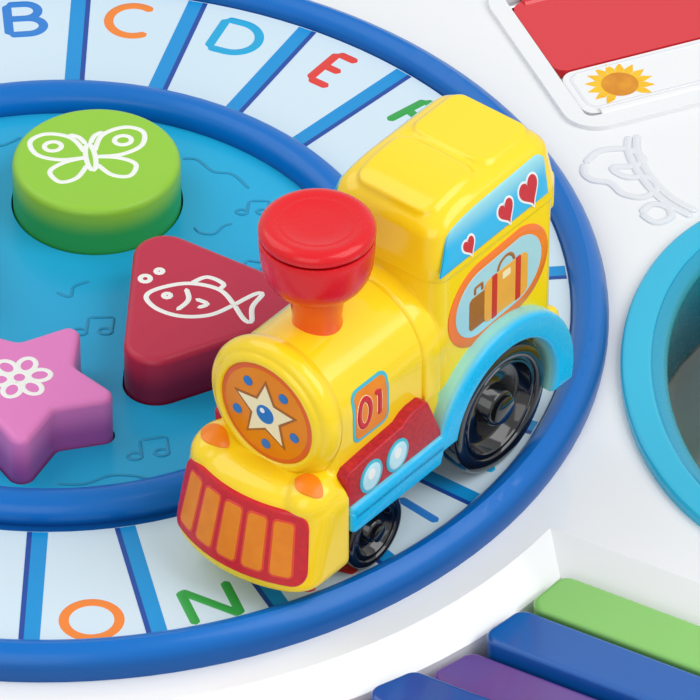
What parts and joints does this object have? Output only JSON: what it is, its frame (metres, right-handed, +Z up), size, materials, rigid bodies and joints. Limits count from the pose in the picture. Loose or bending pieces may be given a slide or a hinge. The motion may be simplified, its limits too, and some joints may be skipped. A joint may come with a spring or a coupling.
{
  "type": "musical activity table",
  "caption": "Round-cornered white play table on legs, with a letter track and rolling train, shape buttons, a flap book, a roller and piano keys.",
  "frame": {"origin": "on the floor under the middle of the table, which is also the axis of the letter track", "axes": "+Z up, +X to the player's right, -Y towards the player"},
  "size_m": [0.5, 0.47, 0.4857],
  "materials": {
    "white_shell": "gloss moulded ABS",
    "rail_blue": "gloss moulded ABS",
    "letter_print": "printed film",
    "disc_turquoise": "satin moulded ABS",
    "green": "satin moulded ABS",
    "crimson": "satin moulded ABS",
    "pink": "satin moulded ABS",
    "orange": "satin moulded ABS",
    "yellow": "gloss moulded ABS",
    "red": "gloss moulded ABS",
    "cyan": "gloss moulded ABS",
    "black": "gloss moulded ABS",
    "key_green": "translucent ABS",
    "key_blue": "translucent ABS",
    "key_purple": "translucent ABS",
    "steel": "bright steel",
    "foot_rubber": "moulded rubber",
    "board_green": "circuit board",
    "speaker_grey": "frame, cone and magnet",
    "cell": "battery cell",
    "contact": "plated contact"
  },
  "bodies": {
    "table": {"table_top": "white_shell", "table_base": "white_shell", "leg_front_left": "white_shell", "leg_front_right": "white_shell", "leg_back_left": "white_shell", "leg_back_right": "white_shell", "book_card": "white_shell", "foot_pads": "foot_rubber", "track_ring": "rail_blue", "letter_sheet": "letter_print", "centre_disc": "disc_turquoise", "sensor_board": "board_green", "main_board": "board_green", "spring_round": "steel", "spring_triangle": "steel", "spring_star": "steel", "spring_square": "steel", "book_pins": "steel", "roller_axle": "steel", "piano_rod": "steel", "casing_screws": "steel", "roller_bezel": "cyan", "dome_strip": "foot_rubber", "speaker": "speaker_grey", "battery_cells": "cell", "battery_contacts": "contact"},
    "train": {"train_body": "yellow", "train_roof": "yellow", "train_base_plate": "black", "train_screws": "steel", "train_fender_left": "cyan", "train_fender_right": "cyan", "train_deck_left": "crimson", "train_deck_right": "crimson", "train_grille": "red", "train_badge": "orange", "train_funnel": "red", "train_funnel_spring": "steel"},
    "funnel_cap": {"train_funnel_cap": "red"},
    "front_wheelset": {"train_front_axle": "steel", "train_front_wheel_left": "black", "train_front_wheel_right": "black"},
    "rear_wheelset": {"train_rear_axle": "steel", "train_rear_wheel_left": "black", "train_rear_wheel_right": "black"},
    "leaf_white": {"book_leaf_white": "white_shell"},
    "leaf_red": {"book_leaf_red": "red"},
    "roller": {"roller_drum": "yellow"},
    "switch": {"switch_slider": "rail_blue"},
    "battery_cover": {"battery_door": "white_shell", "door_screw": "steel"},
    "press_round": {"button_round": "green"},
    "press_triangle": {"button_triangle": "crimson"},
    "press_star": {"button_star": "pink"},
    "press_square": {"button_square": "orange"},
    "key_1": {"piano_key_1": "key_green"},
    "key_2": {"piano_key_2": "key_blue"},
    "key_3": {"piano_key_3": "key_purple"},
    "key_4": {"piano_key_4": "rail_blue"},
    "key_5": {"piano_key_5": "crimson"}
  },
  "joints": [
    {"name": "train_orbit", "type": "hinge", "parent": "table", "child": "train", "pos_m": [0, 0, 0.3889], "axis": [0, 0, 1], "continuous": true},
    {"name": "funnel_cap_press", "type": "slide", "parent": "train", "child": "funnel_cap", "axis": [0, 0, -1], "range_m": [0, 0.001], "stiffness_N_per_m": 200, "springref_m": -0.002, "deforming": ["train_funnel_spring"]},
    {"name": "front_wheels_roll", "type": "hinge", "parent": "train", "child": "front_wheelset", "pos_m": [0.0615, -0.09046, 0.3994], "axis": [0.749, -0.6626, 0], "continuous": true},
    {"name": "rear_wheels_roll", "type": "hinge", "parent": "train", "child": "rear_wheelset", "pos_m": [0.09364, -0.05414, 0.4069], "axis": [0.749, -0.6626, 0], "continuous": true},
    {"name": "button_round_press", "type": "slide", "parent": "table", "child": "press_round", "axis": [0, 0, -1], "range_m": [0, 0.0025], "stiffness_N_per_m": 250, "springref_m": -0.003, "deforming": ["spring_round"]},
    {"name": "button_triangle_press", "type": "slide", "parent": "table", "child": "press_triangle", "axis": [0, 0, -1], "range_m": [0, 0.0025], "stiffness_N_per_m": 250, "springref_m": -0.003, "deforming": ["spring_triangle"]},
    {"name": "button_star_press", "type": "slide", "parent": "table", "child": "press_star", "axis": [0, 0, -1], "range_m": [0, 0.0025], "stiffness_N_per_m": 250, "springref_m": -0.003, "deforming": ["spring_star"]},
    {"name": "button_square_press", "type": "slide", "parent": "table", "child": "press_square", "axis": [0, 0, -1], "range_m": [0, 0.0025], "stiffness_N_per_m": 250, "springref_m": -0.003, "deforming": ["spring_square"]},
    {"name": "leaf_white_turn", "type": "hinge", "parent": "table", "child": "leaf_white", "pos_m": [0.16982, 0.08739, 0.3838], "axis": [0.9397, 0.342, 0], "range_deg": [0, 100]},
    {"name": "leaf_red_turn", "type": "hinge", "parent": "table", "child": "leaf_red", "pos_m": [0.15231, 0.1355, 0.3838], "axis": [-0.9397, -0.342, 0], "range_deg": [0, 100]},
    {"name": "roller_spin", "type": "hinge", "parent": "table", "child": "roller", "pos_m": [0.186, -0.034, 0.377], "axis": [0, 1, 0], "continuous": true},
    {"name": "key_1_press", "type": "hinge", "parent": "table", "child": "key_1", "pos_m": [0.1227, -0.10934, 0.371], "axis": [0.5299, 0.848, 0], "range_deg": [0, 3], "stiffness_Nm_per_rad": 0.3, "springref_deg": -2.29, "deforming": ["dome_strip"]},
    {"name": "key_2_press", "type": "hinge", "parent": "table", "child": "key_2", "pos_m": [0.11412, -0.12308, 0.371], "axis": [0.5299, 0.848, 0], "range_deg": [0, 3], "stiffness_Nm_per_rad": 0.3, "springref_deg": -2.29, "deforming": ["dome_strip"]},
    {"name": "key_3_press", "type": "hinge", "parent": "table", "child": "key_3", "pos_m": [0.10554, -0.13681, 0.371], "axis": [0.5299, 0.848, 0], "range_deg": [0, 3], "stiffness_Nm_per_rad": 0.3, "springref_deg": -2.29, "deforming": ["dome_strip"]},
    {"name": "key_4_press", "type": "hinge", "parent": "table", "child": "key_4", "pos_m": [0.09695, -0.15055, 0.371], "axis": [0.5299, 0.848, 0], "range_deg": [0, 3], "stiffness_Nm_per_rad": 0.3, "springref_deg": -2.29, "deforming": ["dome_strip"]},
    {"name": "key_5_press", "type": "hinge", "parent": "table", "child": "key_5", "pos_m": [0.08837, -0.16429, 0.371], "axis": [0.5299, 0.848, 0], "range_deg": [0, 3], "stiffness_Nm_per_rad": 0.3, "springref_deg": -2.29, "deforming": ["dome_strip"]},
    {"name": "switch_slide", "type": "slide", "parent": "table", "child": "switch", "axis": [1, 0, 0], "range_m": [-0.006, 0.006]},
    {"name": "battery_door_off", "type": "slide", "parent": "table", "child": "battery_cover", "axis": [0, 0, -1], "range_m": [0, 0.03]}
  ],
  "couplings": [
    {"joint": "front_wheels_roll", "follows": "train_orbit", "ratio": -10.095},
    {"joint": "rear_wheels_roll", "follows": "train_orbit", "ratio": -5.8889}
  ]
}
